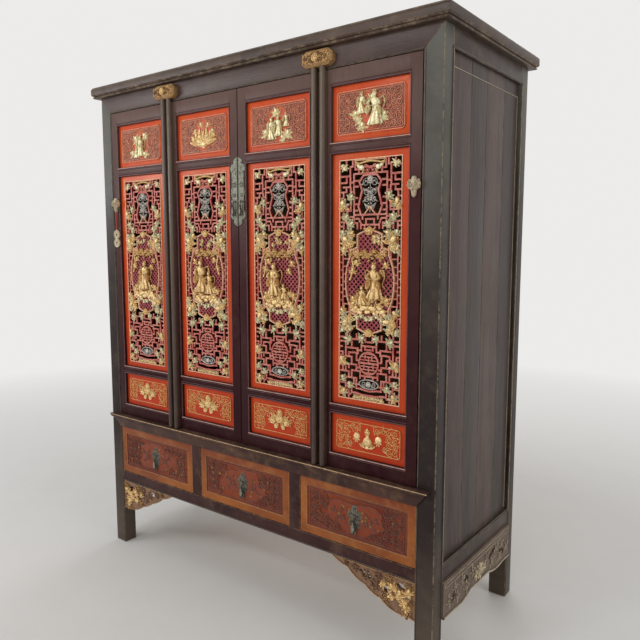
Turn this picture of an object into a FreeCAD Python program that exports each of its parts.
"""Chinese wedding cabinet: four pivoted doors with openwork panels above three drawers.

The frame has its origin on the floor under the middle of the case, X to the right, Z up, and the
front faces -Y. All sizes are in millimetres.
"""
import FreeCAD, Part
import math
import os
import re

import Sketcher

SIZES = {
    # case
    "case_width": 1562, "case_depth": 640, "total_height": 1956,
    "post_width": 62, "post_depth": 56, "post_rounding": 5, "foot_bevel": 3,
    "rail_depth": 45, "frieze_height": 65, "mitre_depth": 18,
    "leg_clearance": 285, "bottom_rail_height": 45, "drawer_opening_height": 201,
    "sill_height": 54, "groove_depth": 8,
    # cap
    "cap_thickness": 46, "cap_overhang": 28, "cap_member_width": 92, "cap_rounding": 14,
    "cap_bead_height": 9, "cap_bead_setback": 9, "cap_chin": 5,
    "top_panel_thickness": 14, "top_panel_drop": 6,
    # waist moulding
    "sill_projection": 25, "sill_overlap": 46,
    # sides and back
    "side_rail_thickness": 40, "side_top_rail_height": 59, "side_low_rail_height": 55,
    "side_panel_thickness": 12, "side_panel_setback": 12, "seam_width": 3, "seam_depth": 2,
    "back_rail_depth": 40, "back_panel_setback": 16, "back_panel_thickness": 12,
    # carved aprons
    "apron_height": 120, "apron_thickness": 14, "apron_setback": 6, "apron_rise": 12,
    "spandrel_length": 314, "spandrel_drop": 125, "spandrel_setback": 5,
    # inside
    "floor_thickness": 20, "drawer_floor_thickness": 12, "shelf_thickness": 20,
    "bearer_size": 22, "guide_height": 40, "guide_width": 22,
    # doors
    "door_thickness": 26, "door_gap": 3, "closing_gap": 3.5, "meeting_gap": 4, "hinge_gap": 3,
    "closing_stile": 39, "hinge_stile": 41.5, "top_rail": 53, "bottom_rail": 49.5,
    "mid_rail": 36, "low_mid_rail": 34, "upper_panel_height": 166.5, "lower_panel_height": 130.5,
    "panel_thickness": 8, "panel_border": 15, "panel_notch": 12, "panel_relief": 2,
    # pivots
    "pole_spacing": 33, "pole_radius": 10, "pole_clearance": 0.5, "dowel_radius": 6,
    "dowel_clearance": 0.3, "dowel_length": 18, "socket_depth": 20, "sill_socket_depth": 11,
    "bracket_width": 116, "bracket_height": 50, "bracket_depth": 28, "bracket_rise": 8,
    "bracket_rounding": 9,
    # openwork door panels
    "lattice_side_margin": 28, "lattice_end_margin": 22, "lattice_bar": 7,
    "cartouche_height": 322, "cartouche_margin": 21, "cartouche_band": 6,
    "lattice_bead": 5, "lattice_bead_height": 2.5, "diamond_bar": 4.5,
    # drawers
    "divider_width": 48, "drawer_gap": 1.5, "drawer_lift": 0.4, "drawer_front_thickness": 20,
    "drawer_recess": 2, "drawer_border": 28, "drawer_sink": 3, "drawer_side_thickness": 12,
    "drawer_bottom_thickness": 8, "drawer_headroom": 30, "drawer_back_gap": 22,
    "drawer_bottom_rise": 5,
    # metalwork
    "lock_plate_height": 238, "lock_plate_half": 34, "lock_plate_fall": 230,
    "lock_drop_length": 52, "lock_drop_width": 15,
    "plate_thickness": 2, "pull_plate_width": 56, "pull_plate_height": 92,
    "drawer_drop_length": 62, "drawer_drop_width": 22, "drop_thickness": 3,
    "pin_radius": 1.6, "pin_clearance": 0.3, "eye_radius": 3.6, "eye_length": 7,
    "staple_reach": 7, "staple_width": 3.6, "staple_gap": 0.4,
    # carved pulls, cord and pendant
    "pull_width": 40, "pull_height": 60, "pull_depth": 12, "pull_fall": 340,
    "cord_radius": 2.5, "cord_length": 70, "pendant_coin_radius": 19, "pendant_hole_radius": 5,
    "pendant_thickness": 5, "pendant_overlap": 4,
}
SHARES = {
    "shelf_share": 0.46, "pull_plate_lift_share": 0.12, "lock_pin_share": 0.3613,
    "lock_side_share": 0.45,
}
SIDE_BOARD_SHARES = (0.29, 0.5, 0.76)
DIAMOND_COLUMNS = 3
COIN_SIDES = 20
OVERRUN = "groove_depth"
NEAR = 0.5  # points and edges closer than this count as the same

doc = FreeCAD.newDocument("wedding_cabinet")
sheet = doc.addObject("Spreadsheet::Sheet", "Sizes")
for row, (alias, number) in enumerate({**SIZES, **SHARES}.items(), start=1):
    sheet.set(f"A{row}", alias)
    sheet.set(f"B{row}", str(number))
    sheet.setAlias(f"B{row}", alias)
doc.recompute()

pieces = []
WORD = re.compile(r"[a-z][a-z_]*")


def sized(text):
    """The expression with each size's name pointing at its cell."""
    known = {**SIZES, **SHARES}
    return WORD.sub(lambda found: ("Sizes." if found.group() in known else "") + found.group(), text)


def value(text):
    """The number that an expression gives with the sheet's sizes."""
    return float(sheet.evalExpression(sized(text)))


def bind(item, **expressions):
    """Bind properties of an object to expressions of the sheet's sizes."""
    for path, text in expressions.items():
        item.setExpression(path, sized(text))
    return item


def place(item, x="0", y="0", z="0"):
    """Bind an object's position to expressions."""
    for axis, text in zip("xyz", (x, y, z)):
        item.setExpression(f"Placement.Base.{axis}", sized(text))
    return item


def piece(item, label):
    """Count a finished object as a sub-part, under its own name."""
    item.Label = label
    pieces.append(item)
    return item


def block(x, y, z):
    """A box between three (low, high) pairs of expressions."""
    box = doc.addObject("Part::Box", "block")
    length, width, height = (f"({high}) - ({low})" for low, high in (x, y, z))
    bind(box, Length=length, Width=width, Height=height)
    return place(box, x[0], y[0], z[0])


def rod(x, y, z, radius):
    """An upright cylinder at (x, y), between the two heights in z."""
    cylinder = doc.addObject("Part::Cylinder", "rod")
    bind(cylinder, Radius=radius, Height=f"({z[1]}) - ({z[0]})")
    return place(cylinder, x, y, z[0])


def grouped(items):
    """Several separate solids as one object."""
    group = doc.addObject("Part::Compound", "group")
    group.Links = items
    return group


def fused(items):
    """Several objects joined into one solid."""
    fusion = doc.addObject("Part::MultiFuse", "fusion")
    fusion.Shapes = items
    fusion.Refine = True
    return fusion


def cut(base, *tools):
    """An object with others taken away, one after another."""
    for tool in tools:
        result = doc.addObject("Part::Cut", "cut")
        result.Base = base
        result.Tool = tool
        base = result
    return base


def formed(shape):
    """An object for a shape that Part's functions make from the sheet's sizes."""
    item = doc.addObject("Part::Feature", "form")
    item.Shape = shape
    return item


def body_named(name):
    """A new empty body."""
    return doc.addObject("PartDesign::Body", name)


def outline(body, role, level, *loops):
    """A sketch of closed polygons whose corners are bound to expressions.

    The sketch lies on the body's origin plane of that role, moved by level along its normal.
    """
    sketch = body.newObject("Sketcher::SketchObject", "outline")
    plane = next(item for item in body.Origin.OriginFeatures if item.Role == role)
    sketch.AttachmentSupport = [(plane, "")]
    sketch.MapMode = "FlatFace"
    sketch.setExpression("AttachmentOffset.Base.z", sized(level))
    for corners in loops:
        first = sketch.GeometryCount
        count = len(corners)
        points = [FreeCAD.Vector(value(across), value(up), 0) for across, up in corners]
        for index in range(count):
            sketch.addGeometry(Part.LineSegment(points[index], points[(index + 1) % count]))
        for index in range(count):
            follower = first + (index + 1) % count
            sketch.addConstraint(Sketcher.Constraint("Coincident", first + index, 2, follower, 1))
        for index, (across, up) in enumerate(corners):
            for direction, text in (("DistanceX", across), ("DistanceY", up)):
                rule = Sketcher.Constraint(direction, -1, 1, first + index, 1, value(text))
                number = sketch.addConstraint(rule)
                sketch.setExpression(f"Constraints[{number}]", sized(text))
    return sketch


def pad(body, sketch, length):
    """The sketch's area built up along its normal."""
    feature = body.newObject("PartDesign::Pad", "pad")
    feature.Profile = sketch
    bind(feature, Length=length)
    return feature


def pocket(body, sketch, depth):
    """The sketch's area cut away against its normal."""
    feature = body.newObject("PartDesign::Pocket", "pocket")
    feature.Profile = sketch
    bind(feature, Length=depth)
    return feature


def rounded(body, base, chosen, radius):
    """A fillet on the edges of the base feature that the test picks."""
    doc.recompute()
    names = [f"Edge{number}" for number, edge in enumerate(base.Shape.Edges, start=1) if chosen(edge)]
    feature = body.newObject("PartDesign::Fillet", "rounding")
    feature.Base = (base, names)
    bind(feature, Radius=radius)
    return feature


def bevelled(body, base, chosen, size):
    """A chamfer on the edges of the base feature that the test picks."""
    doc.recompute()
    names = [f"Edge{number}" for number, edge in enumerate(base.Shape.Edges, start=1) if chosen(edge)]
    feature = body.newObject("PartDesign::Chamfer", "bevel")
    feature.Base = (base, names)
    bind(feature, Size=size)
    return feature


def rectangle(low_x, high_x, low_y, high_y):
    """The four corners of a rectangle, anticlockwise."""
    return [(low_x, low_y), (high_x, low_y), (high_x, high_y), (low_x, high_y)]


def on_side(side, near, far):
    """A span from near to far of the middle, on the right (1) or on the left (-1)."""
    if side > 0:
        return near, far
    return f"-({far})", f"-({near})"


FRONT = "(-case_depth / 2)"
BACK = "(case_depth / 2)"
OUTER = "(case_width / 2)"
INNER = "(case_width / 2 - post_width)"
CASE_TOP = "(total_height - cap_thickness)"
FRIEZE_BASE = f"({CASE_TOP} - frieze_height)"
DRAWER_BASE = "(leg_clearance + bottom_rail_height)"
SILL_BASE = f"({DRAWER_BASE} + drawer_opening_height)"
SILL_TOP = f"({SILL_BASE} + sill_height)"
POST_BACK_FACE = f"({FRONT} + post_depth)"
BACK_POST_FACE = f"({BACK} - post_depth)"
PANEL_OUT = f"({OUTER} - side_panel_setback)"
PANEL_IN = f"({PANEL_OUT} - side_panel_thickness)"
SIDE_LOW_TOP = "(leg_clearance + side_low_rail_height)"
SIDE_HIGH_BASE = f"({CASE_TOP} - side_top_rail_height)"
BACK_PANEL_OUT = f"({BACK} - back_panel_setback)"
BACK_PANEL_IN = f"({BACK_PANEL_OUT} - back_panel_thickness)"
BACK_RAIL_FACE = f"({BACK} - back_rail_depth)"
RAIL_BACK = f"({FRONT} + rail_depth)"
SHELF_TOP = f"({SILL_TOP} + ({FRIEZE_BASE} - {SILL_TOP}) * shelf_share)"
POLE_Y = f"({FRONT} - pole_radius - pole_clearance)"
BRACKET_BASE = f"({FRIEZE_BASE} + bracket_rise)"
MULLION = f"({INNER} / 2)"


def is_upright(edge):
    """Whether an edge runs straight up."""
    return len(edge.Vertexes) == 2 and abs(edge.tangentAt(edge.FirstParameter).z) > 0.999


def side_panel_span(side):
    """The space that a side panel fills, tongues included."""
    y = (f"{POST_BACK_FACE} - groove_depth", f"{BACK_POST_FACE} + groove_depth")
    z = (f"{SIDE_LOW_TOP} - groove_depth", f"{SIDE_HIGH_BASE} + groove_depth")
    return on_side(side, PANEL_IN, PANEL_OUT), y, z


def back_panel_spans():
    """The spaces that the upper and lower back panels fill, tongues included."""
    x = (f"-{INNER} - groove_depth", f"{INNER} + groove_depth")
    y = (BACK_PANEL_IN, BACK_PANEL_OUT)
    upper = (f"{SILL_TOP} - groove_depth", f"{SIDE_HIGH_BASE} + groove_depth")
    lower = (f"{SIDE_LOW_TOP} - groove_depth", f"{SILL_BASE} + groove_depth")
    return [(x, y, upper), (x, y, lower)]


def frieze_outline():
    """The frieze rail's front, which meets the posts on a slanted mitre."""
    return [(f"-{INNER}", FRIEZE_BASE), (INNER, FRIEZE_BASE), (OUTER, CASE_TOP),
            (f"-{OUTER}", CASE_TOP)]


def post(side, row):
    """One corner post with its rounded outer arris, grooved for the panels."""
    body = body_named("post")
    x_low, x_high = on_side(side, INNER, OUTER)
    y_low, y_high = (FRONT, POST_BACK_FACE) if row == "front" else (BACK_POST_FACE, BACK)
    plan = outline(body, "XY_Plane", "0", rectangle(x_low, x_high, y_low, y_high))
    shaft = pad(body, plan, CASE_TOP)
    corner_x = side * value(OUTER)
    corner_y = value(FRONT if row == "front" else BACK)

    def outer_arris(edge):
        corner = edge.Vertexes[0].Point
        return is_upright(edge) and math.hypot(corner.x - corner_x, corner.y - corner_y) < NEAR

    shaft = rounded(body, shaft, outer_arris, "post_rounding")
    bevelled(body, shaft, lambda edge: edge.BoundBox.ZMax < NEAR, "foot_bevel")
    tools = [block(*side_panel_span(side))]
    if row == "front":
        mitre = body_named("mitre")
        depth_level = f"-({FRONT} + mitre_depth)"
        pad(mitre, outline(mitre, "XZ_Plane", depth_level, frieze_outline()), "mitre_depth")
        tools.append(mitre)
    else:
        tools += [block(*span) for span in back_panel_spans()]
    return cut(body, *tools)


def make_posts():
    """Two front posts, and the pair of back posts."""
    piece(post(-1, "front"), "post_front_left")
    piece(post(1, "front"), "post_front_right")
    piece(grouped([post(-1, "back"), post(1, "back")]), "back_posts")


def cap_profile():
    """The cap moulding's section: its outer edge at 0, inwards along +Y, up along +Z."""
    width, thickness = value("cap_member_width"), value("cap_thickness")
    bead, setback = value("cap_bead_height"), value("cap_bead_setback")
    radius = value("cap_rounding")
    slot_top = thickness - value("top_panel_drop")
    slot_base = slot_top - value("top_panel_thickness")
    slot = width - value("groove_depth")
    chin = value("cap_chin")
    corner = 1 - math.sqrt(0.5)

    def at(y, z):
        return FreeCAD.Vector(0, y, z)

    edges = [Part.makeLine(at(width, 0), at(setback, 0))]
    under = [(setback, 0), (setback - bead / 2, bead / 3), (setback, bead), (chin, bead),
             (0, bead + chin), (0, thickness - radius)]
    edges += [Part.makeLine(at(*start), at(*end)) for start, end in zip(under, under[1:])]
    shoulder = at(radius * corner, thickness - radius * corner)
    edges.append(Part.Arc(at(0, thickness - radius), shoulder, at(radius, thickness)).toShape())
    corners = [(radius, thickness), (width, thickness), (width, slot_top), (slot, slot_top)]
    corners += [(slot, slot_base), (width, slot_base), (width, 0)]
    for start, end in zip(corners, corners[1:]):
        edges.append(Part.makeLine(at(*start), at(*end)))
    return Part.Face(Part.Wire(edges))


def mitred_member(length, depth, turn):
    """One side of the cap frame: the moulding with 45 degree ends, turned about the middle."""
    member = cap_profile().extrude(FreeCAD.Vector(length, 0, 0))
    member.translate(FreeCAD.Vector(-length / 2, -depth / 2, value(CASE_TOP)))
    low, high = value(f"{CASE_TOP} - {OVERRUN}"), value(f"total_height + {OVERRUN}")
    width = value("cap_member_width")
    keep = [(-length / 2, -depth / 2), (length / 2, -depth / 2)]
    keep += [(length / 2 - width, -depth / 2 + width), (-length / 2 + width, -depth / 2 + width)]
    corners = [FreeCAD.Vector(x, y, low) for x, y in keep]
    wedge = Part.Face(Part.makePolygon(corners + corners[:1])).extrude(FreeCAD.Vector(0, 0, high - low))
    member = member.common(wedge)
    member.rotate(FreeCAD.Vector(), FreeCAD.Vector(0, 0, 1), turn)
    return member


def make_cap():
    """The cap: four mitred mouldings round a top panel that sits in their groove."""
    length = value("case_width + 2 * cap_overhang")
    depth = value("case_depth + 2 * cap_overhang")
    members = [mitred_member(length, depth, turn) for turn in (0, 180)]
    members += [mitred_member(depth, length, turn) for turn in (90, 270)]
    inset = "cap_overhang - cap_member_width + groove_depth"
    x = f"(case_width / 2 + {inset})"
    y = f"(case_depth / 2 + {inset})"
    top = "total_height - top_panel_drop"
    panel = block((f"-{x}", x), (f"-{y}", y), (f"{top} - top_panel_thickness", top))
    piece(grouped([formed(member) for member in members] + [panel]), "cap")


def make_frieze():
    """The frieze rail over the doors, with mitre ears that lap the posts."""
    body = body_named("frieze")
    pad(body, outline(body, "XZ_Plane", f"-({FRONT} + mitre_depth)", frieze_outline()), "mitre_depth")
    core = rectangle(f"-{INNER}", INNER, FRIEZE_BASE, CASE_TOP)
    pad(body, outline(body, "XZ_Plane", f"-{RAIL_BACK}", core), "rail_depth - mitre_depth")
    piece(body, "frieze_rail")


# The underside of the waist moulding, as shares of its projection and of its height.
SILL_COVE_SHARES = ((1, 0.8), (0.62, 0.68), (0.31, 0.4), (0.24, 0))


def make_sill():
    """The waist moulding under the doors: a rail with a coved nosing that laps the posts."""
    body = body_named("sill_rail")
    section = [(RAIL_BACK, SILL_BASE), (RAIL_BACK, SILL_TOP), (FRONT, SILL_TOP), (FRONT, SILL_BASE)]
    rail = outline(body, "YZ_Plane", f"-{INNER}", section)
    pad(body, rail, f"2 * {INNER}")
    nosing = [(FRONT, SILL_BASE), (FRONT, SILL_TOP), (f"({FRONT} - sill_projection)", SILL_TOP)]
    nosing += [(f"{FRONT} - sill_projection * {out}", f"{SILL_BASE} + sill_height * {up}")
               for out, up in SILL_COVE_SHARES]
    body_nosing = body_named("sill_nosing")
    reach_x = f"({INNER} + sill_overlap)"
    pad(body_nosing, outline(body_nosing, "YZ_Plane", f"-{reach_x}", nosing), f"2 * {reach_x}")
    ends = body_named("sill_ends")
    front_view = [(f"-{reach_x}", SILL_TOP), (f"-{INNER}", SILL_BASE), (INNER, SILL_BASE),
                  (reach_x, SILL_TOP)]
    depth_level = f"-({FRONT} + rail_depth)"
    pad(ends, outline(ends, "XZ_Plane", depth_level, front_view), "rail_depth + 2 * sill_projection")
    trimmed = doc.addObject("Part::Common", "trimmed")
    trimmed.Base = body_nosing
    trimmed.Tool = ends
    sockets = [rod(x, POLE_Y, (f"{SILL_TOP} - sill_socket_depth", f"{SILL_TOP} + {OVERRUN}"),
                   "dowel_radius + dowel_clearance") for x in pole_places()]
    piece(cut(fused([body, trimmed]), *sockets), "sill")


def pole_places():
    """The X places of the four pivot poles, from left to right."""
    places = [f"(-{MULLION} - pole_spacing / 2)", f"(-{MULLION} + pole_spacing / 2)"]
    return places + [f"({MULLION} - pole_spacing / 2)", f"({MULLION} + pole_spacing / 2)"]


def make_side(side, name):
    """One side: rails, a panel of upright boards, and a carved apron."""
    rail_x = on_side(side, f"{OUTER} - side_rail_thickness", OUTER)
    rail_y = (POST_BACK_FACE, BACK_POST_FACE)
    levels = (("leg_clearance", SIDE_LOW_TOP), (SIDE_HIGH_BASE, CASE_TOP))
    rails = [cut(block(rail_x, rail_y, z), block(*side_panel_span(side))) for z in levels]
    x, y, z = side_panel_span(side)
    face = on_side(side, f"{PANEL_OUT} - seam_depth", f"{PANEL_OUT} + {OVERRUN}")
    seams = []
    for share in SIDE_BOARD_SHARES:
        middle = f"({y[0]} + (({y[1]}) - ({y[0]})) * {share})"
        seams.append(block(face, (f"{middle} - seam_width / 2", f"{middle} + seam_width / 2"),
                           (SIDE_LOW_TOP, SIDE_HIGH_BASE)))
    piece(cut(block(x, y, z), *seams), f"side_panel_{name}")
    piece(formed(apron_shape(side)), f"side_apron_{name}")
    return rails


def plate_from(edges, holes, thickness):
    """A flat plate from a closed outline and pierced holes, all in one plane, built along +Y."""
    face = Part.Face(Part.Wire(Part.__sortEdges__(edges)))
    plate = face.extrude(FreeCAD.Vector(0, thickness, 0))
    for hole in holes:
        plate = plate.cut(hole.extrude(FreeCAD.Vector(0, thickness, 0)))
    return plate


def scalloped(points, sag):
    """Edges through the points, each a shallow arc that bulges by sag of its chord, or a line."""
    edges = []
    for (x0, z0, bulge), (x1, z1, _) in zip(points, points[1:]):
        start, end = FreeCAD.Vector(x0, 0, z0), FreeCAD.Vector(x1, 0, z1)
        if not bulge:
            edges.append(Part.makeLine(start, end))
            continue
        chord = end - start
        normal = FreeCAD.Vector(chord.z, 0, -chord.x)
        middle = (start + end) * 0.5 + normal * (sag * bulge)
        edges.append(Part.Arc(start, middle, end).toShape())
    return edges


def leaf_slot(x, z, half_length, half_width, turn):
    """A pierced leaf with pointed ends, centred on (x, z), turned by some degrees."""
    bend = half_length / 2
    points = [(-half_length, 0), (-bend, -half_width), (bend, -half_width), (half_length, 0),
              (bend, half_width), (-bend, half_width)]
    face = flat_face(points)
    face.rotate(FreeCAD.Vector(), FreeCAD.Vector(0, 1, 0), -turn)
    face.translate(FreeCAD.Vector(x, 0, z))
    return face


# The apron's lower edge, as shares of its length and rise, with the way that each scallop bulges,
# its pierced leaves as shares of its length and height with their turn, and the size of a leaf.
APRON_EDGE_SHARES = ((0, 0, 0), (0.12, 0, 1), (0.36, 1, 0), (0.64, 1, 1), (0.88, 0, 0), (1, 0, 0))
APRON_SAG_SHARE = 0.07
APRON_HOLE_SHARES = ((0.13, 0.4, 35), (0.3, 0.58, -25), (0.7, 0.58, 25), (0.87, 0.4, -35))
APRON_LEAF_SHARES = (0.24, 0.09)


def apron_shape(side):
    """A side apron: a board with a scalloped lower edge and pierced slots."""
    length = value(f"{BACK_POST_FACE} - {POST_BACK_FACE}")
    height, rise = value("apron_height"), value("apron_rise")
    thickness = value("apron_thickness")
    points = [(x * length, z * rise, bulge) for x, z, bulge in APRON_EDGE_SHARES]
    edges = scalloped(points, APRON_SAG_SHARE)
    top = [(length, 0, 0), (length, height, 0), (0, height, 0), (0, 0, 0)]
    edges += scalloped(top, 0)
    leaf_length, leaf_width = (height * share for share in APRON_LEAF_SHARES)
    holes = [leaf_slot(x * length, z * height, leaf_length, leaf_width, turn)
             for x, z, turn in APRON_HOLE_SHARES]
    board = plate_from(edges, holes, thickness)
    board.translate(FreeCAD.Vector(-length / 2, -thickness, 0))
    board.rotate(FreeCAD.Vector(), FreeCAD.Vector(0, 0, 1), 90 * side)
    outer = value(f"{OUTER} - apron_setback")
    board.translate(FreeCAD.Vector(side * outer, 0, value("leg_clearance") - height))
    return board


# The spandrel's lower edge, its pierced leaves and the size of a leaf, in the apron's way.
SPANDREL_EDGE_SHARES = ((0, 0, 0), (0.2, 0.03, 1), (0.38, 0.25, 1), (0.57, 0.47, 1), (0.79, 0.78, 1),
                        (1, 1, 0))
SPANDREL_SAG_SHARE = 0.08
SPANDREL_HOLE_SHARES = ((0.13, 0.38, 60), (0.14, 0.76, 10), (0.35, 0.6, 30), (0.58, 0.77, 20))
SPANDREL_LEAF_SHARES = (0.2, 0.08)


def make_spandrels():
    """The gilt corner spandrels under the bottom rail."""
    length, drop = value("spandrel_length"), value("spandrel_drop")
    thickness = value("apron_thickness")
    points = [(x * length, z * drop, bulge) for x, z, bulge in SPANDREL_EDGE_SHARES]
    edges = scalloped(points, SPANDREL_SAG_SHARE)
    edges += scalloped([(length, drop, 0), (0, drop, 0), (0, 0, 0)], 0)
    leaf_length, leaf_width = (drop * share for share in SPANDREL_LEAF_SHARES)
    holes = [leaf_slot(x * length, z * drop, leaf_length, leaf_width, turn)
             for x, z, turn in SPANDREL_HOLE_SHARES]
    left = plate_from(edges, holes, thickness)
    left.translate(FreeCAD.Vector(value(f"-{INNER}"), value(f"{FRONT} + spandrel_setback"),
                                  value("leg_clearance") - drop))
    piece(formed(left), "spandrel_left")
    piece(formed(left.mirror(FreeCAD.Vector(), FreeCAD.Vector(1, 0, 0))), "spandrel_right")


def make_back():
    """Three back rails and the two panels in their grooves."""
    x = (f"-{INNER}", INNER)
    y = (BACK_RAIL_FACE, BACK)
    levels = (("leg_clearance", SIDE_LOW_TOP), (SILL_BASE, SILL_TOP), (SIDE_HIGH_BASE, CASE_TOP))
    grooves = [block(*span) for span in back_panel_spans()]
    piece(grouped([cut(block(x, y, z), *grooves) for z in levels]), "back_rails")
    piece(grouped([block(*span) for span in back_panel_spans()]), "back_panels")


def post_notches():
    """Blocks that stand where the four posts do."""
    spans = []
    for side in (-1, 1):
        for y in ((FRONT, POST_BACK_FACE), (BACK_POST_FACE, BACK)):
            spans.append(block(on_side(side, INNER, OUTER), y, ("0", CASE_TOP)))
    return spans


def make_inside():
    """The boards inside: cabinet floor, drawer floor, shelf, their bearers and the drawer guides."""
    between_panels = (f"-{PANEL_IN}", PANEL_IN)
    floor_z = (f"{SILL_TOP} - floor_thickness", SILL_TOP)
    floor = block(between_panels, (RAIL_BACK, BACK_RAIL_FACE), floor_z)
    piece(cut(floor, *post_notches()), "cabinet_floor")
    rail_in = f"({OUTER} - side_rail_thickness)"
    low_z = (f"{DRAWER_BASE} - drawer_floor_thickness", DRAWER_BASE)
    low = block((f"-{rail_in}", rail_in), (RAIL_BACK, BACK_RAIL_FACE), low_z)
    piece(cut(low, *post_notches()), "drawer_floor")
    shelf_z = (f"{SHELF_TOP} - shelf_thickness", SHELF_TOP)
    shelf = block(between_panels, (POST_BACK_FACE, BACK_PANEL_IN), shelf_z)
    piece(cut(shelf, *post_notches()), "shelf")
    make_bearers(shelf_z[0])
    make_guides()


def make_bearers(top):
    """Battens that carry the shelf at both sides and along the back."""
    z = (f"{top} - bearer_size", top)
    y = (POST_BACK_FACE, BACK_POST_FACE)
    items = [block(on_side(side, f"{PANEL_IN} - bearer_size", PANEL_IN), y, z) for side in (-1, 1)]
    items.append(block((f"-{INNER}", INNER), (f"{BACK_PANEL_IN} - bearer_size", BACK_PANEL_IN), z))
    piece(grouped(items), "shelf_bearers")


def drawer_width():
    """The width of each drawer opening."""
    return f"((2 * {INNER} - 2 * divider_width) / 3)"


def divider_span(side):
    """The X span of a divider."""
    return on_side(side, f"{drawer_width()} / 2", f"{drawer_width()} / 2 + divider_width")


def make_guides():
    """The dividers between the drawers, and the guides behind them and beside the outer drawers."""
    z = (DRAWER_BASE, SILL_BASE)
    dividers = [block(divider_span(side), (FRONT, RAIL_BACK), z) for side in (-1, 1)]
    piece(grouped(dividers), "drawer_dividers")
    guide_z = (DRAWER_BASE, f"{DRAWER_BASE} + guide_height")
    guides = []
    for side in (-1, 1):
        guides.append(block(divider_span(side), (RAIL_BACK, BACK_RAIL_FACE), guide_z))
        outer = on_side(side, INNER, f"{INNER} + guide_width")
        guides.append(block(outer, (POST_BACK_FACE, BACK_POST_FACE), guide_z))
    piece(grouped(guides), "drawer_guides")


# The bracket's front view, as shares of its width from the middle and of its height from the base.
BRACKET_SHARES = ((-0.36, 0), (0.36, 0), (0.5, 0.25), (0.5, 0.75), (0.36, 1), (-0.36, 1), (-0.5, 0.75),
                  (-0.5, 0.25))


def make_brackets():
    """The two carved brackets on the frieze, each bored for two top pivots."""
    front_y = value(f"{FRONT} - bracket_depth")
    sockets = (f"{BRACKET_BASE} - {OVERRUN}", f"{BRACKET_BASE} + socket_depth")
    for middle, places, name in ((f"-{MULLION}", pole_places()[:2], "left"),
                                 (MULLION, pole_places()[2:], "right")):
        body = body_named("bracket")
        shape = [(f"{middle} + bracket_width * {across}", f"{BRACKET_BASE} + bracket_height * {up}")
                 for across, up in BRACKET_SHARES]
        solid = pad(body, outline(body, "XZ_Plane", f"-{FRONT}", shape), "bracket_depth")
        bevelled(body, solid, lambda edge: abs(edge.BoundBox.YMax - front_y) < NEAR, "bracket_rounding")
        bores = [rod(x, POLE_Y, sockets, "dowel_radius + dowel_clearance") for x in places]
        piece(cut(body, *bores), f"hinge_bracket_{name}")


def make_case():
    """Everything that stands still."""
    make_posts()
    make_cap()
    make_frieze()
    make_sill()
    rails = make_side(-1, "left") + make_side(1, "right")
    piece(grouped(rails), "side_rails")
    make_back()
    rail = block((f"-{INNER}", INNER), (FRONT, RAIL_BACK), ("leg_clearance", DRAWER_BASE))
    piece(rail, "bottom_rail")
    make_spandrels()
    make_inside()
    make_brackets()


DOOR_FACE = FRONT
DOOR_REAR = f"({FRONT} + door_thickness)"
DOOR_BASE = f"({SILL_TOP} + door_gap)"
DOOR_TOP = f"({FRIEZE_BASE} - door_gap)"
GROOVE_FRONT = f"({FRONT} + (door_thickness - panel_thickness) / 2)"
GROOVE_REAR = f"({GROOVE_FRONT} + panel_thickness)"


def door_levels():
    """The heights of the three panel openings, from the top down."""
    upper_top = f"({DOOR_TOP} - top_rail)"
    upper_base = f"({upper_top} - upper_panel_height)"
    main_top = f"({upper_base} - mid_rail)"
    lower_base = f"({DOOR_BASE} + bottom_rail)"
    lower_top = f"({lower_base} + lower_panel_height)"
    main_base = f"({lower_top} + low_mid_rail)"
    return [(upper_base, upper_top), (main_base, main_top), (lower_base, lower_top)]


def door_plan(number):
    """The X places of one door: its edges, its panel opening, its pole, and its hinge's side."""
    places = pole_places()
    plans = {
        1: (f"(-{INNER} + closing_gap)", f"(-{MULLION} - hinge_gap / 2)", places[0], 1),
        2: (f"(-{MULLION} + hinge_gap / 2)", "(-meeting_gap / 2)", places[1], -1),
        3: ("(meeting_gap / 2)", f"({MULLION} - hinge_gap / 2)", places[2], 1),
        4: (f"({MULLION} + hinge_gap / 2)", f"({INNER} - closing_gap)", places[3], -1),
    }
    low, high, pole, hinge_side = plans[number]
    low_stile = "closing_stile" if hinge_side > 0 else "hinge_stile"
    high_stile = "hinge_stile" if hinge_side > 0 else "closing_stile"
    opening = (f"({low} + {low_stile})", f"({high} - {high_stile})")
    return low, high, opening, pole, hinge_side


def grooved(x, z):
    """The space of a door panel, tongues included."""
    wide = (f"{x[0]} - groove_depth", f"{x[1]} + groove_depth")
    tall = (f"{z[0]} - groove_depth", f"{z[1]} + groove_depth")
    return wide, (GROOVE_FRONT, GROOVE_REAR), tall


def hinge_stile(x, pole):
    """The stile that turns: square, with a round pole along its front and a dowel at each end."""
    height = (DOOR_BASE, DOOR_TOP)
    stile = block(x, (DOOR_FACE, DOOR_REAR), height)
    neck = block((f"{pole} - pole_radius", f"{pole} + pole_radius"), (POLE_Y, DOOR_FACE), height)
    round_pole = rod(pole, POLE_Y, (DOOR_BASE, f"{BRACKET_BASE} - dowel_clearance"), "pole_radius")
    dowel_span = (f"{SILL_TOP} - sill_socket_depth + dowel_clearance", f"{BRACKET_BASE} + dowel_length")
    return fused([stile, neck, round_pole, rod(pole, POLE_Y, dowel_span, "dowel_radius")])


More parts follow.
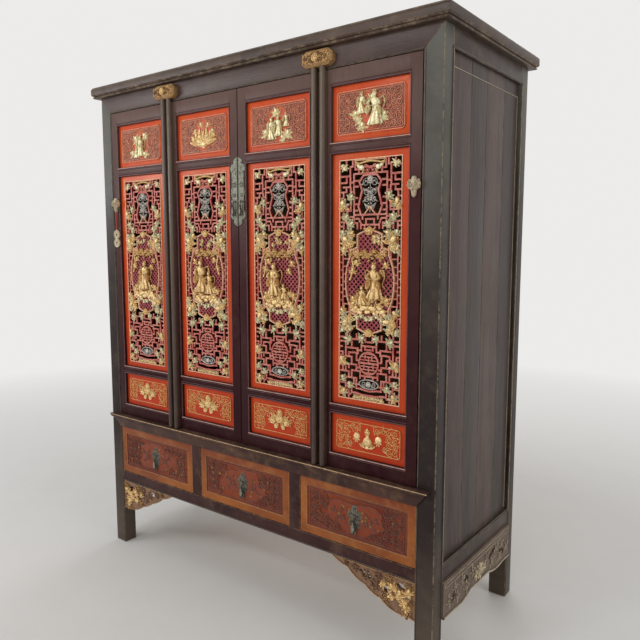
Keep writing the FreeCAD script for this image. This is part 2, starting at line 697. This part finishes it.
def door_frame(number):
    """Two stiles and four rails, grooved for the three panels."""
    low, high, opening, pole, hinge_side = door_plan(number)
    levels = door_levels()
    depth = (DOOR_FACE, DOOR_REAR)
    low_span, high_span = (low, opening[0]), (opening[1], high)
    hinge_span = high_span if hinge_side > 0 else low_span
    closing_span = low_span if hinge_side > 0 else high_span
    heights = [(levels[0][1], DOOR_TOP), (levels[1][1], levels[0][0]), (levels[2][1], levels[1][0]),
               (DOOR_BASE, levels[2][0])]
    members = [hinge_stile(hinge_span, pole), block(closing_span, depth, (DOOR_BASE, DOOR_TOP))]
    members += [block(opening, depth, z) for z in heights]
    grooves = grouped([block(*grooved(opening, z)) for z in levels])
    return grouped([cut(member, grooves) for member in members])


def notched_loop(x, z, inset):
    """A rectangle, set in from an opening, with each corner notched square."""
    notch = "panel_notch"
    x0, x1 = f"({x[0]} + {inset})", f"({x[1]} - ({inset}))"
    z0, z1 = f"({z[0]} + {inset})", f"({z[1]} - ({inset}))"
    return [(f"{x0} + {notch}", z0), (f"{x1} - {notch}", z0), (f"{x1} - {notch}", f"{z0} + {notch}"),
            (x1, f"{z0} + {notch}"), (x1, f"{z1} - {notch}"), (f"{x1} - {notch}", f"{z1} - {notch}"),
            (f"{x1} - {notch}", z1), (f"{x0} + {notch}", z1), (f"{x0} + {notch}", f"{z1} - {notch}"),
            (x0, f"{z1} - {notch}"), (x0, f"{z0} + {notch}"), (f"{x0} + {notch}", f"{z0} + {notch}")]


def small_panel(x, z):
    """A solid door panel with a raised field whose corners step in."""
    body = body_named("small_panel")
    wide, _, tall = grooved(x, z)
    pad(body, outline(body, "XZ_Plane", f"-{GROOVE_REAR}", rectangle(*wide, *tall)), "panel_thickness")
    field = notched_loop(x, z, "panel_border")
    pad(body, outline(body, "XZ_Plane", f"-{GROOVE_FRONT}", field), "panel_relief")
    return body


# The gaps of the fret, each as shares of its cell, from the left and from the base.
GAP_SHARES = {
    "square": ((0, 0), (1, 0), (1, 1), (0, 1)),
    "hook": ((0, 0), (1, 0), (1, 1), (0, 1), (0, 0.62), (0.64, 0.62), (0.64, 0.3), (0.42, 0.3),
             (0.42, 0.42), (0, 0.42)),
    "valance": ((0, 0), (1, 0), (1, 0.75), (0.76, 0.5), (0.5, 0.65), (0.24, 0.5), (0, 0.75)),
    "vase": ((0.12, 0), (0.88, 0), (1, 0.22), (0.8, 0.62), (0.96, 0.84), (0.78, 1), (0.22, 1),
             (0.04, 0.84), (0.2, 0.62), (0, 0.22)),
    "step": ((0, 0), (1, 0), (1, 0.45), (0.8, 0.45), (0.8, 1), (0.2, 1), (0.2, 0.45), (0, 0.45)),
    "arch": ((0, 0), (0.12, 0), (0.3, 0.5), (0.7, 0.5), (0.88, 0), (1, 0), (1, 1), (0, 1)),
}
# The cells above and below the cartouche: left, right, top and base as shares of the field, the form
# of the gap, and whether it is turned over. A cell left of the middle is mirrored to the right.
UPPER_CELL_SHARES = (
    (0, 0.27, 0, 0.25, "square", False), (0, 0.27, 0.25, 0.625, "hook", False),
    (0, 0.27, 0.625, 1, "hook", True), (0.27, 0.73, 0, 0.25, "valance", False),
    (0.27, 0.73, 0.25, 0.78, "vase", False), (0.27, 0.73, 0.78, 1, "step", False),
)
LOWER_CELL_SHARES = (
    (0, 0.27, 0, 0.375, "hook", False), (0, 0.27, 0.375, 0.75, "hook", True),
    (0, 0.27, 0.75, 1, "square", False), (0.27, 0.73, 0, 0.42, "arch", False),
    (0.27, 0.73, 0.42, 0.84, "arch", True), (0.27, 0.73, 0.84, 1, "square", False),
)
# The cartouche's outline in one quarter, as shares of its half width and half height.
CARTOUCHE_SHARES = ((0, 1), (0.51, 0.9), (0.51, 0.66), (0.79, 0.6), (0.79, 0.5), (0.95, 0.28), (1, 0))
SIDE_BAR_SHARES = (0.24, 0.76)


def flat_face(points):
    """A flat face through (x, z) points."""
    corners = [FreeCAD.Vector(x, 0, z) for x, z in points]
    return Part.Face(Part.makePolygon(corners + corners[:1]))


def flat_box(left, right, base, top):
    """A flat rectangle between the given limits."""
    return flat_face([(left, base), (right, base), (right, top), (left, top)])


def cell_gap(form, turned, mirrored, left, right, base, top):
    """One gap of the fret, with half a bar left round it."""
    edge = value("lattice_bar") / 2
    width, height = right - left - 2 * edge, top - base - 2 * edge
    points = []
    for across, up in GAP_SHARES[form]:
        across = 1 - across if mirrored else across
        up = 1 - up if turned else up
        points.append((left + edge + across * width, base + edge + up * height))
    return flat_face(points)


def fret_gaps(cells, left, right, base, top):
    """All gaps of the fret in a field, from its table of cells."""
    width, height = right - left, top - base
    gaps = []
    for start, end, high, low, form, turned in cells:
        levels = (top - low * height, top - high * height)
        gaps.append(cell_gap(form, turned, False, left + start * width, left + end * width, *levels))
        if start == 0:
            gaps.append(cell_gap(form, turned, True, right - end * width, right, *levels))
    return gaps


def cartouche_face(half_width, half_height):
    """The lobed field of the cartouche, symmetric both ways, centred on the origin."""
    quarter = [(x * half_width, z * half_height) for x, z in CARTOUCHE_SHARES]
    right = quarter + [(x, -z) for x, z in reversed(quarter[:-1])]
    left = [(-x, z) for x, z in reversed(right[1:-1])]
    return flat_face(right + left)


def diamond_gaps(inner):
    """Diamond gaps in rows, clipped to the inner face of the cartouche."""
    half_width, half_height = inner.BoundBox.XLength / 2, inner.BoundBox.ZLength / 2
    pitch = 2 * half_width / DIAMOND_COLUMNS
    rows = math.ceil(2 * half_height / pitch)
    reach = (pitch - value("diamond_bar") * math.sqrt(2)) / 2
    gaps = []
    for row in range(-rows, rows + 1):
        for column in range(-DIAMOND_COLUMNS, DIAMOND_COLUMNS + 1):
            if (row + column) % 2:
                continue
            x, z = column * pitch / 2, row * pitch / 2
            diamond = flat_face([(x - reach, z), (x, z - reach), (x + reach, z), (x, z + reach)])
            gaps += [face for face in diamond.common(inner).Faces if face.Area > reach * reach / 2]
    return gaps


def side_gaps(left, right, base, top, outer):
    """The gaps between the cartouche and its rectangle, crossed by level bars."""
    edge = value("lattice_bar") / 2
    field = flat_box(left + edge, right - edge, base + edge, top - edge).cut(outer)
    for share in SIDE_BAR_SHARES:
        z = base + (top - base) * share
        field = field.cut(flat_box(left, right, z - edge, z + edge))
    return [face for face in field.Faces if face.Area > value("lattice_bar") ** 2]


def carved_field(left, right, base, top):
    """The gaps of a carved field between the given limits."""
    centre = FreeCAD.Vector((left + right) / 2, 0, (base + top) / 2)
    half_height = value("cartouche_height") / 2
    half_width = (right - left) / 2 - value("cartouche_margin")
    outer = cartouche_face(half_width, half_height)
    diamonds = diamond_gaps(outer.makeOffset2D(-value("cartouche_band"), 2))
    for face in [outer] + diamonds:
        face.translate(centre)
    low, high = centre.z - half_height, centre.z + half_height
    gaps = diamonds + fret_gaps(UPPER_CELL_SHARES, left, right, high, top)
    gaps += fret_gaps(LOWER_CELL_SHARES, left, right, base, low)
    return gaps + side_gaps(left, right, low, high, outer)


def openwork_panel(x, z):
    """The tall door panel: frets above and below a lobed cartouche over diamond lattice."""
    x0, x1 = (value(text) for text in x)
    z0, z1 = (value(text) for text in z)
    groove, bead = value("groove_depth"), value("lattice_bead")
    rim_x, rim_z = value("lattice_side_margin"), value("lattice_end_margin")
    limits = (x0 + rim_x, x1 - rim_x, z0 + rim_z, z1 - rim_z)
    board = flat_box(x0 - groove, x1 + groove, z0 - groove, z1 + groove)
    board = board.cut(Part.Compound(carved_field(*limits)))
    left, right, base, top = limits
    border = flat_box(left - bead, right + bead, base - bead, top + bead).cut(flat_box(*limits))
    panel = board.extrude(FreeCAD.Vector(0, value("panel_thickness"), 0))
    panel = panel.fuse(border.extrude(FreeCAD.Vector(0, -value("lattice_bead_height"), 0)))
    panel = panel.removeSplitter()
    panel.translate(FreeCAD.Vector(0, value(GROOVE_FRONT), 0))
    return formed(panel)


def make_doors():
    """The four door leaves."""
    for number in (1, 2, 3, 4):
        opening = door_plan(number)[2]
        upper, main, lower = door_levels()
        piece(door_frame(number), f"door_{number}_frame")
        piece(small_panel(opening, upper), f"door_{number}_top_panel")
        piece(openwork_panel(opening, main), f"door_{number}_lattice")
        piece(small_panel(opening, lower), f"door_{number}_bottom_panel")


def coin(x, z, radius):
    """A flat round face, as a polygon of many sides."""
    turns = [2 * math.pi * (step + 0.5) / COIN_SIDES for step in range(COIN_SIDES)]
    return flat_face([(x + radius * math.cos(turn), z + radius * math.sin(turn)) for turn in turns])


def joined(faces, thickness):
    """Overlapping flat faces as one plate, built along -Y."""
    plates = [face.extrude(FreeCAD.Vector(0, -thickness, 0)) for face in faces]
    return plates[0].fuse(plates[1:]).removeSplitter()


def staple(x, face_y, z):
    """A staple on a plate: two square posts with a round pin between them."""
    gap = value("eye_length") / 2 + value("staple_gap")
    width, reach = value("staple_width"), value("staple_reach")
    parts = []
    for start in (x - gap - width, x + gap):
        corner = FreeCAD.Vector(start, face_y - reach - width / 2, z - width / 2)
        parts.append(Part.makeBox(width, reach + width / 2, width, corner))
    start = FreeCAD.Vector(x - gap - width / 2, face_y - reach, z)
    parts.append(Part.makeCylinder(value("pin_radius"), 2 * gap + width, start, FreeCAD.Vector(1, 0, 0)))
    return parts


# A leaf that hangs from its eye, as shares of half its width and of its length.
DROP_SHARES = ((0.3, 0), (0.3, 0.34), (0.7, 0.6), (1, 0.8), (0.7, 0.94), (0, 1))


def drop(x, pin_y, pin_z, length, width):
    """A hanging drop: a square eye round the pin and a leaf that swells to a round lower end."""
    eye, thickness = value("eye_radius"), value("drop_thickness")
    half = value("eye_length") / 2
    right = [(across * width / 2, -down * length) for across, down in DROP_SHARES]
    left = [(-across, up) for across, up in reversed(right[:-1])]
    blade = flat_face(right + left).extrude(FreeCAD.Vector(0, -thickness, 0))
    blade.translate(FreeCAD.Vector(x, pin_y + thickness / 2, pin_z))
    corner = FreeCAD.Vector(x - half, pin_y - eye, pin_z - eye)
    block_eye = Part.makeBox(2 * half, 2 * eye, 2 * eye, corner)
    bore = Part.makeCylinder(value("pin_radius + pin_clearance"), 2 * half,
                             FreeCAD.Vector(x - half, pin_y, pin_z), FreeCAD.Vector(1, 0, 0))
    return block_eye.fuse(blade).cut(bore).removeSplitter()


# Half of the lock plate's lower half, from the meeting edge up to its middle, as shares of its half
# width and of its height. The upper half mirrors it.
LOCK_SHARES = ((0, 0), (0.36, 0.02), (0.55, 0.055), (0.45, 0.095), (0.85, 0.11), (1, 0.155), (0.92, 0.2),
               (0.78, 0.23), (0.78, 0.43), (0.88, 0.47))


def make_lock():
    """The two halves of the lock plate, with a staple and a drop on each."""
    half, height = value("lock_plate_half"), value("lock_plate_height")
    base = value(f"{DOOR_TOP} - lock_plate_fall") - height
    inset = value("meeting_gap / 2")
    thickness = value("plate_thickness")
    pin_z = base + height * value("lock_pin_share")
    shares = LOCK_SHARES + tuple((x, 1 - z) for x, z in reversed(LOCK_SHARES))
    outline_points = [(inset + x * half, base + z * height) for x, z in shares]
    middle = inset + half * value("lock_side_share")
    for side, number in ((-1, 2), (1, 3)):
        plate = flat_face(outline_points).extrude(FreeCAD.Vector(0, -thickness, 0))
        plate = plate.fuse(staple(middle, -thickness, pin_z)).removeSplitter()
        leaf = drop(middle, -thickness - value("staple_reach"), pin_z, value("lock_drop_length"),
                    value("lock_drop_width"))
        for shape, label in ((plate, f"lock_plate_{number}"), (leaf, f"lock_drop_{number}")):
            if side < 0:
                shape = shape.mirror(FreeCAD.Vector(), FreeCAD.Vector(1, 0, 0))
            shape.translate(FreeCAD.Vector(0, value(DOOR_FACE), 0))
            piece(formed(shape), label)


# The carved pull, like a bat with spread wings over a tapering tail, as shares of its width and height.
PULL_SHARES = ((0, 0), (0.14, 0.1), (0.2, 0.36), (0.46, 0.44), (0.5, 0.66), (0.4, 0.86), (0.2, 0.84),
               (0.1, 1), (-0.1, 1), (-0.2, 0.84), (-0.4, 0.86), (-0.5, 0.66), (-0.46, 0.44), (-0.2, 0.36),
               (-0.14, 0.1))


def make_pulls():
    """The carved pulls on the two outer doors, and the cord and pendant on the left one."""
    width, height, depth = value("pull_width"), value("pull_height"), value("pull_depth")
    base, face_y = value(f"{DOOR_TOP} - pull_fall") - height, value(DOOR_FACE)
    for side, number in ((-1, 1), (1, 4)):
        middle = side * value(f"{INNER} - closing_gap - closing_stile / 2")
        points = [(middle + x * width, base + z * height) for x, z in PULL_SHARES]
        shape = flat_face(points).extrude(FreeCAD.Vector(0, -depth, 0))
        front = [edge for edge in shape.Edges if abs(edge.BoundBox.YMax + depth) < NEAR]
        shape = shape.makeChamfer(depth / 4, front)
        shape.translate(FreeCAD.Vector(0, face_y, 0))
        piece(formed(shape), f"door_{number}_pull")
        if side < 0:
            hang_pendant(middle, face_y - depth / 2, base)


def hang_pendant(x, y, top):
    """A taut cord from the pull's tip to a pendant of two coins, one above the other."""
    radius, length = value("cord_radius"), value("cord_length")
    start = FreeCAD.Vector(x, y, top)
    piece(formed(Part.makeCylinder(radius, length, start, FreeCAD.Vector(0, 0, -1))), "pendant_cord")
    size, hole = value("pendant_coin_radius"), value("pendant_hole_radius")
    thickness, overlap = value("pendant_thickness"), value("pendant_overlap")
    neck_base = top - length - hole
    upper = neck_base - size + overlap
    lower = upper - 2 * size + overlap
    neck = flat_box(x - hole / 2, x + hole / 2, neck_base - hole, top - length)
    plate = joined([coin(x, upper, size), coin(x, lower, size), neck], thickness)
    for z in (upper, lower):
        square = flat_face([(x - hole, z), (x, z - hole), (x + hole, z), (x, z + hole)])
        plate = plate.cut(square.extrude(FreeCAD.Vector(0, -thickness, 0)))
    plate.translate(FreeCAD.Vector(0, y + thickness / 2, 0))
    piece(formed(plate), "pendant")


def drawer_front(x):
    """A drawer front with a sunk field inside a plain border."""
    body = body_named("drawer_front")
    z = (f"({DRAWER_BASE} + drawer_lift + drawer_gap)", f"({SILL_BASE} - drawer_gap)")
    face = f"({FRONT} + drawer_recess)"
    rear = f"-({face} + drawer_front_thickness)"
    pad(body, outline(body, "XZ_Plane", rear, rectangle(*x, *z)), "drawer_front_thickness")
    field = rectangle(f"{x[0]} + drawer_border", f"{x[1]} - drawer_border",
                      f"{z[0]} + drawer_border", f"{z[1]} - drawer_border")
    pocket(body, outline(body, "XZ_Plane", f"-{face}", field), "drawer_sink")
    return body


def drawer_box(x):
    """The drawer's two sides, back and bottom, as separate boards."""
    wall = "drawer_side_thickness"
    rear_of_front = f"({FRONT} + drawer_recess + drawer_front_thickness)"
    end = f"({BACK_RAIL_FACE} - drawer_back_gap)"
    low = f"({DRAWER_BASE} + drawer_lift)"
    high = f"({SILL_BASE} - drawer_headroom)"
    inner = (f"({x[0]} + {wall})", f"({x[1]} - {wall})")
    sides = [block((x[0], inner[0]), (rear_of_front, end), (low, high)),
             block((inner[1], x[1]), (rear_of_front, end), (low, high))]
    rear = block(inner, (f"{end} - {wall}", end), (low, high))
    bottom = block(inner, (rear_of_front, f"{end} - {wall}"),
                   (f"{low} + drawer_bottom_rise", f"{low} + drawer_bottom_rise + drawer_bottom_thickness"))
    return grouped(sides + [rear, bottom])


# Half of a cloud-shaped back plate, as shares of its half width and half height.
PULL_PLATE_SHARES = ((0, 1), (0.36, 0.86), (0.42, 0.6), (0.8, 0.52), (1, 0.2), (0.72, -0.06), (0.86, -0.4),
                     (0.55, -0.66), (0.3, -0.9), (0, -1))


def pull_plate(x, z):
    """A cloud-shaped back plate with its staple."""
    width, height = value("pull_plate_width"), value("pull_plate_height")
    thickness = value("plate_thickness")
    right = [(across * width / 2, up * height / 2) for across, up in PULL_PLATE_SHARES]
    left = [(-across, up) for across, up in reversed(right[1:-1])]
    plate = flat_face(right + left).extrude(FreeCAD.Vector(0, -thickness, 0))
    plate.translate(FreeCAD.Vector(x, 0, z))
    pin_z = z + value("pull_plate_height * pull_plate_lift_share")
    return plate.fuse(staple(x, -thickness, pin_z)).removeSplitter(), pin_z


def make_drawers():
    """The three drawers with their pulls."""
    pitch = f"({drawer_width()} + divider_width)"
    for number in (1, 2, 3):
        middle = f"({pitch} * {number - 2})"
        half = f"({drawer_width()} / 2 - drawer_gap)"
        x = (f"({middle} - {half})", f"({middle} + {half})")
        piece(drawer_front(x), f"drawer_{number}_front")
        piece(drawer_box(x), f"drawer_{number}_box")
        face_y = value(f"{FRONT} + drawer_recess + drawer_sink")
        centre_x = value(middle)
        plate, pin_z = pull_plate(centre_x, value(f"({DRAWER_BASE} + {SILL_BASE}) / 2"))
        pin_y = -value("plate_thickness") - value("staple_reach")
        leaf = drop(centre_x, pin_y, pin_z, value("drawer_drop_length"), value("drawer_drop_width"))
        for shape, label in ((plate, "pull_plate"), (leaf, "pull")):
            shape.translate(FreeCAD.Vector(0, face_y, 0))
            piece(formed(shape), f"drawer_{number}_{label}")


def check_document():
    """Stop if any object failed, or any sub-part is missing or not valid."""
    for item in doc.Objects:
        if {"Invalid", "Error"} & set(item.State):
            raise RuntimeError(f"{item.Name} ({item.Label}) failed: {item.State}")
    for item in pieces:
        if item.Shape.isNull() or not item.Shape.isValid() or not item.Shape.Solids:
            raise RuntimeError(f"{item.Label} has no valid solid")


def write_parts():
    """Write each sub-part to its own file."""
    os.makedirs("parts", exist_ok=True)
    for item in pieces:
        item.Shape.exportStep(os.path.join("parts", f"{item.Label}.step"))


make_case()
make_doors()
make_lock()
make_pulls()
make_drawers()
doc.recompute()
check_document()
write_parts()
print(f"{len(pieces)} sub-parts written")
